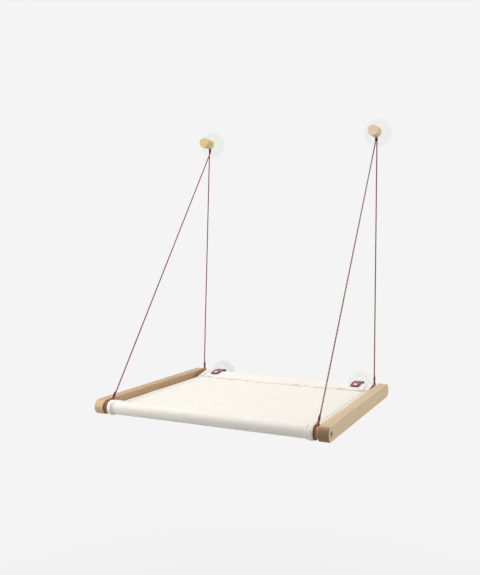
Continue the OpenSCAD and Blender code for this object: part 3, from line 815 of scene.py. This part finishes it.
def clothColumns(plan, look):
    # across the sheet: hem turned to the under side, fold, seat, fold, hem; as (x, lift, flat place)
    gap, cell = look["layerGap"], look["cell"]
    seam, edge = plan["canvasHalf"] - look["hem"], plan["canvasHalf"] - plan["clothThick"] / 2
    fold = [(seam + x, gap) for x in look["hemColumns"]]
    fold += [(edge - inset, gap * share) for inset, share in look["foldColumns"]]
    fold += [(seam + x, 0.0) for x in look["seamColumns"]]
    inner = [(x, 0.0) for x in stepsBetween(seam - cell, cell - seam, cell)]
    columns = fold + inner + [(-x, lift) for x, lift in reversed(fold)]
    made, flat = [], 0.0
    for i, (x, lift) in enumerate(columns):
        if i:
            flat += math.hypot(x - columns[i - 1][0], lift - columns[i - 1][1])
        made.append((x, lift, flat))
    return made


# tones: colour and share of the thread's radius. painted shadow darkens some stitches: dark ones on the rear
# flap, near the dowels and at the right end of the rear seam, and the rear seam's thread is painted a shade
# darker than the rest
stitchLook = {"length": 2.7, "pitch": 3.3, "radius": 0.4, "sides": 0, "proud": 0.1,
              "arch": ((0, -0.4), (0.14, 0.02), (0.5, 0.1), (0.86, 0.02), (1, -0.4)),
              "tones": {"pale": ("#dcd2bc", 1.0), "seam": ("#c8bea6", 0.7), "dark": ("#443c2f", 1.3)},
              "fromEdge": 3.0, "fromHem": 1.6, "fromSide": 3.0, "hemMargin": 1.0, "pastFlap": 60.0,
              "shadowAcross": 0.42, "shadowAcrossSizes": (14, 9), "shadowEnd": 14.0,
              "shadowAlong": 0.05, "shadowLeftFlap": 0.3, "shadowAlongSizes": (7, 1), "shadowNear": 20.0}


def clothPoint(x, lift, row, plan, look):
    # slight sag and slow waves of a stretched cloth, puckers beside the sewn lines and along the hems
    y, z = row["at"]
    along, wrap = row["along"], row["wrap"]
    fromDowel = min(plan["rearY"] - y, y - plan["frontY"])
    fromSeam = abs(fromDowel - plan["sleeveRun"])
    seam = plan["canvasHalf"] - look["hem"]
    pastStitch = abs(x) - seam - stitchLook["fromHem"]
    band = min(1, max(0, pastStitch / (look["hem"] - stitchLook["fromHem"])))
    sag = look["sag"] * (1 - (x / plan["canvasHalf"]) ** 2) * smoothstep(*look["sagSpan"], fromDowel)
    slow = look["wave"] * ripple(x, y, look["waveSizes"], 3.1) * smoothstep(*look["waveSpan"], fromDowel)
    pucker = look["pucker"] * ripple(x, y, look["puckerSizes"], 8.4) * bell(fromSeam, look["puckerReach"])
    hemPucker = look["hemPucker"] * ripple(along, x, look["hemPuckerSizes"], 1.9)
    hemPucker *= bell(pastStitch, look["hemPuckerReach"])
    crown = look["crown"] * math.sin(math.pi * band) * smoothstep(0, 1, wrap)
    groove = look["groove"] * bell(pastStitch, look["grooveReach"]) * smoothstep(0, 0.5, wrap)
    fine = look["fine"] * ripple(x, along, look["fineSizes"], 5.7)
    flapEdge = 1 - smoothstep(0, look["pressedReach"], along)
    pressed = look["pressed"] * (1 + ripple(x, 2.7, (look["pressedWave"], 1), 6.1)) * flapEdge
    step = [seam + reach for reach in look["wrapStep"]]
    out = lift + hemPucker + fine + groove - crown - wrap * look["layerGap"] * smoothstep(*step, abs(x))
    rearward = smoothstep(plan["frontY"] + look["narrowFrom"], plan["rearY"], y)
    narrow = 1 - look["rearNarrow"] / plan["canvasHalf"] * rearward
    return Vector((x * narrow if x < 0 else x, y + row["out"].x * out,
                   z + row["out"].y * out - sag + slow + pucker - pressed))


canvasRows = clothRows(seatPlan, canvasLook)
canvasColumns = clothColumns(seatPlan, canvasLook)


def rowAt(along):
    # row of the cloth at a length along it
    for a, b in zip(canvasRows, canvasRows[1:]):
        if a["along"] <= along <= b["along"]:
            t = (along - a["along"]) / (b["along"] - a["along"])
            return {"at": a["at"].lerp(b["at"], t), "out": a["out"].lerp(b["out"], t).normalized(),
                    "along": along, "wrap": a["wrap"] + (b["wrap"] - a["wrap"]) * t}
    return canvasRows[-1]


def flapRow(x, along, plan, look):
    # the edge of the rear flap wanders a little
    if along >= plan["sleeveRun"]:
        return rowAt(along)
    draw = look["flapWander"] * max(0, 0.5 + ripple(x, 7.7, (look["flapWave"], 1), 2.2))
    return {**rowAt(along + draw * (1 - along / plan["sleeveRun"])), "along": along}


def makeCanvas(plan, look):
    rows, columns = canvasRows, canvasColumns
    bm = bmesh.new()
    bmesh.ops.create_grid(bm, x_segments=len(columns) - 1, y_segments=len(rows) - 1, size=0.5)
    sheetPlace = bm.loops.layers.uv.new("cloth")
    flat = {}
    for vert in bm.verts:
        x, lift, across = columns[round((vert.co.x + 0.5) * (len(columns) - 1))]
        row = flapRow(x, rows[round((vert.co.y + 0.5) * (len(rows) - 1))]["along"], plan, look)
        flat[vert] = (across * mm, row["along"] * mm)
        vert.co = clothPoint(x, lift, row, plan, look) * mm
    for face in bm.faces:
        for loop in face.loops:
            loop[sheetPlace].uv = flat[loop.vert]
    canvas = addPiece("canvas_sheet", bm, [cottonDuck("cottonDuck", duckLook)])
    wall = canvas.modifiers.new("thickness", "SOLIDIFY")
    wall.thickness = plan["clothThick"] * mm
    wall.offset = 0.0
    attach(canvas, "seat")
    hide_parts("canvas_seat")
    return canvas


canvas = makeCanvas(seatPlan, canvasLook)


# stitching: lockstitch in a slightly darker thread, painted darker still in places as shadow

def makeStitching(plan, look, cloth):
    stitches, slots = [], []
    tones = list(look["tones"])
    total, half, flap = canvasRows[-1]["along"], plan["canvasHalf"], plan["sleeveRun"]
    skin = plan["clothThick"] / 2 + look["proud"]
    hemX = half - cloth["hem"] + look["fromHem"]

    def sew(ends, rows, lift, out, tone):
        # one short run of thread that dips into the cloth at both ends
        a, b = [clothPoint(x, lift, row, plan, cloth) for x, row in zip(ends, rows)]
        stitches.append([a.lerp(b, t) + out * math.copysign(1, lift) * dip for t, dip in look["arch"]])
        slots.append(tones.index(tone))

    def sewAcross(along, lift):
        x = -half + look["fromSide"]
        while x < half - look["fromSide"]:
            ends = (x, x + look["length"])
            rows = [flapRow(p, along, plan, cloth) for p in ends]
            onHem = lift > 0 and abs(x) > half - cloth["hem"] - look["hemMargin"]
            # dark stitches on the rear seam are painted shadow
            spotted = ripple(x, along, look["shadowAcrossSizes"], 4.2) > look["shadowAcross"]
            shadowed = spotted or x > hemX - look["shadowEnd"]
            sew(ends, rows, lift + cloth["layerGap"] * onHem, Vector((0, *rows[0]["out"])),
                "pale" if lift < 0 else "dark" if shadowed else "seam")
            x += look["pitch"]

    def sewAlong(x, lift, start, end):
        along = start
        while along < end:
            rows = [flapRow(x, a, plan, cloth) for a in (along, along + look["length"])]
            y = rows[0]["at"].x
            # dark stitches on the flap and near the dowels are painted shadow
            shadowZone = along < flap or min(plan["rearY"] - y, y - plan["frontY"]) < look["shadowNear"]
            limit = look["shadowAlong"] if x > 0 or along > flap else look["shadowLeftFlap"]
            shadowed = shadowZone and ripple(along, x, look["shadowAlongSizes"], 7.3) > limit
            out = Vector((0, *(rows[0]["out"] + rows[1]["out"]))).normalized()
            sew((x, x), rows, lift, out, "dark" if shadowed else "pale")
            along += look["pitch"]

    def seatPast(y):
        # length along the sheet at which its seat passes this place
        return next(r["along"] for r in canvasRows if r["along"] > look["pastFlap"] and r["at"].x < y)

    sewAcross(look["fromEdge"], skin)
    sewAcross(total - look["fromEdge"], -skin)
    for side in bothSides.values():
        sewAlong(side * hemX, cloth["layerGap"] + skin, look["fromEdge"], seatPast(plan["frontY"] + flap))
        sewAlong(side * hemX, -skin, seatPast(plan["rearY"] - flap), total - look["fromEdge"])
    threads = [spunYarn("cottonThread_" + tone, look["tones"][tone][0], cottonThread) for tone in tones]
    thick = [look["tones"][tones[slot]][1] for slot in slots]
    mesh = tubeMesh("stitching", stitches, look["radius"], look["sides"], threads, slots, thick)
    thread = addPiece("stitching", mesh, [])
    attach(thread, "seat")
    return thread


stitching = makeStitching(seatPlan, stitchLook, canvasLook)
print("canvas sewn")


# tabs: leather straps riveted on the rear sleeve and buttoned on the lower cups

tabLook = {"wide": 20.0, "thick": 1.8, "reach": 25.0, "lift": 1.1, "tailY": 19.5, "tailZ": -6.0,
           "bend": 2.5, "bendStep": 12.0, "arcSteps": 8, "lineStep": 0.25, "cell": 1.3, "corner": 7.0,
           "hole": 3.9, "holeZ": 3.0, "holePull": 1.6, "easeWidth": 0.35, "easeAngle": 50.0,
           "pebble": 1.1, "stain": 7.0, "rimSpan": (0.8, 2.6), "gloss": (0.38, 0.55),
           "bump": 0.5, "bumpDepth": 0.2,
           "colour": "#94475a", "dark": "#743041", "edge": "#3a181f", "edgeDark": "#1c0b0e"}


def grainLeather(name, colour, dark, edge, look):
    # dyed full-grain leather: pebbled skin, darker in stains and along the burnished rim, soft satin gloss
    finish, tree, shader = newFinish(name)
    place = addNode(tree, "ShaderNodeTexCoord")
    pebble = addNode(tree, "ShaderNodeTexVoronoi", {"feature": "F1", "Scale": 1 / (look["pebble"] * mm)},
                     {"Vector": place.outputs["Object"]})
    stain = addNode(tree, "ShaderNodeTexNoise", {"Scale": 1 / (look["stain"] * mm), "Detail": 3.0},
                    {"Vector": place.outputs["Object"]})
    tone = addNode(tree, "ShaderNodeValToRGB",
                   {"stops": zip(noiseSpan, (linearColour(dark), linearColour(colour)))},
                   {"Fac": stain.outputs["Fac"]})
    inward = addNode(tree, "ShaderNodeAttribute", {"attribute_name": "rim"})
    burnt = addNode(tree, "ShaderNodeMapRange",
                    {"From Min": look["rimSpan"][0], "From Max": look["rimSpan"][1]},
                    {"Value": inward.outputs["Fac"]})
    edged = addNode(tree, "ShaderNodeMix", {"data_type": "RGBA", 6: linearColour(edge)},
                    {0: burnt.outputs["Result"], 7: tone.outputs["Color"]})
    tree.links.new(edged.outputs[2], shader.inputs["Base Color"])
    bump = addNode(tree, "ShaderNodeBump",
                   {"Strength": look["bump"], "Distance": look["bumpDepth"] * mm, "invert": True},
                   {"Height": pebble.outputs["Distance"]})
    tree.links.new(bump.outputs["Normal"], shader.inputs["Normal"])
    rough = addNode(tree, "ShaderNodeMapRange", {"To Min": look["gloss"][0], "To Max": look["gloss"][1]},
                    {"Value": stain.outputs["Fac"]})
    tree.links.new(rough.outputs["Result"], shader.inputs["Roughness"])
    return finish


tabFinish = grainLeather("grainLeather", tabLook["colour"], tabLook["dark"], tabLook["edge"], tabLook)
edgeFinish = grainLeather("burnishedEdge", tabLook["edge"], tabLook["edgeDark"], tabLook["edgeDark"], tabLook)


def tabLine(plan, look):
    # middle of a tab in (y, z) from the dowel: up the sleeve, over it, back over the cup's head and down
    edge = (plan["sleeveRun"], plan["seatTop"] + plan["clothThick"])
    slope = math.pi / 2 - tangentAngle(edge, plan["rollRadius"], 1)
    r, bend = plan["rollRadius"] + look["lift"], look["bend"]
    start = Vector((-look["reach"], (r - look["reach"] * math.sin(slope)) / math.cos(slope)))
    corner = Vector((look["tailY"] - bend, r - bend))
    over = [math.pi / 2 + slope * (1 - i / look["arcSteps"]) for i in range(look["arcSteps"] + 1)]
    down = stepsBetween(math.pi / 2, 0, math.radians(look["bendStep"]))
    line = [start] + [Vector((math.cos(a), math.sin(a))) * r for a in over]
    line += [corner + bend * Vector((math.cos(a), math.sin(a))) for a in down]
    return [Vector((0, p.x, p.y)) for p in line + [Vector((look["tailY"], look["tailZ"]))]]


def makeTab(sideName, plan, look):
    # flat strap with its hole and corners, then laid along the line
    line = evenly(tabLine(plan, look), look["lineStep"])
    low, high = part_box("tab_" + sideName)
    middleX = (low.x + high.x) / 2 / mm
    run, half, corner = look["lineStep"] * (len(line) - 1), look["wide"] / 2, look["corner"]
    hole = Vector((0, run - (look["holeZ"] - look["tailZ"]), 0))
    bm = bmesh.new()
    bmesh.ops.create_grid(bm, x_segments=round(look["wide"] / look["cell"]),
                          y_segments=round(run / look["cell"]), size=0.5)
    for vert in bm.verts:
        vert.co = Vector((vert.co.x * look["wide"], (vert.co.y + 0.5) * run, 0))
    punched = [f for f in bm.faces if (f.calc_center_median() - hole).length < look["hole"]]
    bmesh.ops.delete(bm, geom=punched, context="FACES")
    rim = bm.verts.layers.float.new("rim")
    for vert in bm.verts:
        outward = vert.co - hole
        if vert.is_boundary and outward.length < look["hole"] * look["holePull"]:
            vert.co = hole + outward.normalized() * look["hole"]
    for vert in bm.verts:
        end = min(vert.co.y, run - vert.co.y)
        vert[rim] = min(half - abs(vert.co.x), end)
        narrow = half
        if end < corner:
            narrow -= corner - math.sqrt(corner ** 2 - (corner - end) ** 2)
        at = line[min(len(line) - 1, round(vert.co.y / look["lineStep"]))]
        vert.co = Vector((middleX + vert.co.x * narrow / half, plan["rearY"] + at.y, at.z)) * mm
    bmesh.ops.recalc_face_normals(bm, faces=bm.faces)
    tab = addPiece("leather_tab_" + sideName, bm, [tabFinish, edgeFinish])
    wall = tab.modifiers.new("thickness", "SOLIDIFY")
    wall.thickness = look["thick"] * mm
    wall.offset = 0.0
    wall.material_offset_rim = 1
    ease = tab.modifiers.new("edge", "BEVEL")
    ease.width, ease.segments = look["easeWidth"] * mm, 2
    ease.limit_method, ease.angle_limit = "ANGLE", math.radians(look["easeAngle"])
    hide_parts("tab_" + sideName)
    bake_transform(tab)


for sideName in bothSides:
    makeTab(sideName, seatPlan, tabLook)
print("tabs cut")


# stage: pale floor and world that both read as one plain ground

stageLook = {"ground": "#f4f4f4", "paint": "#c6c6c6", "light": 0.5, "floorPlace": (0, -0.2, -0.75),
             "floorSize": 14.0, "shadowSpan": (0.2, 1.3), "shadowShare": 0.15}


def seenGround(tree, colour, other, source, share=None):
    # plain ground where the camera sees it, also in a reflection or through the cups, and other elsewhere
    ground = addNode(tree, source, {"Color": linearColour(colour), "Strength": 1.0})
    path = addNode(tree, "ShaderNodeLightPath")
    seen = addNode(tree, "ShaderNodeMath", {"operation": "MAXIMUM"},
                   {0: path.outputs["Is Camera Ray"], 1: path.outputs["Is Glossy Ray"]})
    shown = addNode(tree, "ShaderNodeMath", {"operation": "MAXIMUM"},
                    {0: seen.outputs[0], 1: path.outputs["Is Transmission Ray"]})
    if share:
        shown = addNode(tree, "ShaderNodeMath", {"operation": "MULTIPLY"}, {0: shown.outputs[0], 1: share})
    return addNode(tree, "ShaderNodeMixShader", None,
                   {0: shown.outputs[0], 1: other.outputs[0], 2: ground.outputs[0]}).outputs[0]


def makeWorld(look):
    scene.world = bpy.data.worlds.new("studio")
    scene.world.use_nodes = True
    tree = scene.world.node_tree
    light = tree.nodes["Background"]
    light.inputs["Color"].default_value = (1, 1, 1, 1)
    light.inputs["Strength"].default_value = look["light"]
    mixed = seenGround(tree, look["ground"], light, "ShaderNodeBackground")
    tree.links.new(mixed, tree.nodes["World Output"].inputs["Surface"])


def makeFloor(look):
    # matt paint: under the object a share of it shows, and that keeps the shadow
    paint = bpy.data.materials.new("palePaint")
    paint.use_nodes = True
    tree = paint.node_tree
    matt = addNode(tree, "ShaderNodeBsdfDiffuse", {"Color": linearColour(look["paint"])})
    place = addNode(tree, "ShaderNodeTexCoord")
    reach = addNode(tree, "ShaderNodeVectorMath", {"operation": "LENGTH"}, {0: place.outputs["Object"]})
    share = addNode(tree, "ShaderNodeMapRange",
                    {"From Min": look["shadowSpan"][0], "From Max": look["shadowSpan"][1],
                     "To Min": 1 - look["shadowShare"], "To Max": 1.0}, {"Value": reach.outputs["Value"]})
    mixed = seenGround(tree, look["ground"], matt, "ShaderNodeEmission", share.outputs["Result"])
    tree.links.new(mixed, tree.nodes["Material Output"].inputs["Surface"])
    bm = bmesh.new()
    bmesh.ops.create_grid(bm, x_segments=1, y_segments=1, size=look["floorSize"] / 2)
    floor = addPiece("floor", bm, [paint], smooth=False)
    floor.location = look["floorPlace"]


lampPlan = {"overhead": {"place": (-0.45, -0.2, 2.1), "aim": (0, -0.2, 0), "size": 1.8, "power": 30.0},
            "rightFill": {"place": (2.3, -0.2, 0.6), "aim": (0, -0.2, 0.1), "size": 1.4, "power": 20.0},
            "frontFill": {"place": (-0.85, -0.8, 0.2), "aim": (-0.25, -0.42, 0), "size": 0.5, "power": 5.2}}


def addLamp(name, plan):
    data = bpy.data.lights.new(name, "AREA")
    data.shape = "DISK"
    data.size = plan["size"]
    data.energy = plan["power"]
    lamp = bpy.data.objects.new(name, data)
    lamp.location = plan["place"]
    lamp.rotation_mode = "QUATERNION"
    lamp.rotation_quaternion = (Vector(plan["aim"]) - Vector(plan["place"])).to_track_quat("-Z", "Y")
    lamp.visible_camera = False
    lamp.visible_transmission = False  # else they sparkle through the cups
    scene.collection.objects.link(lamp)


makeWorld(stageLook)
makeFloor(stageLook)
for name, plan in lampPlan.items():
    addLamp(name, plan)
print("stage lit")
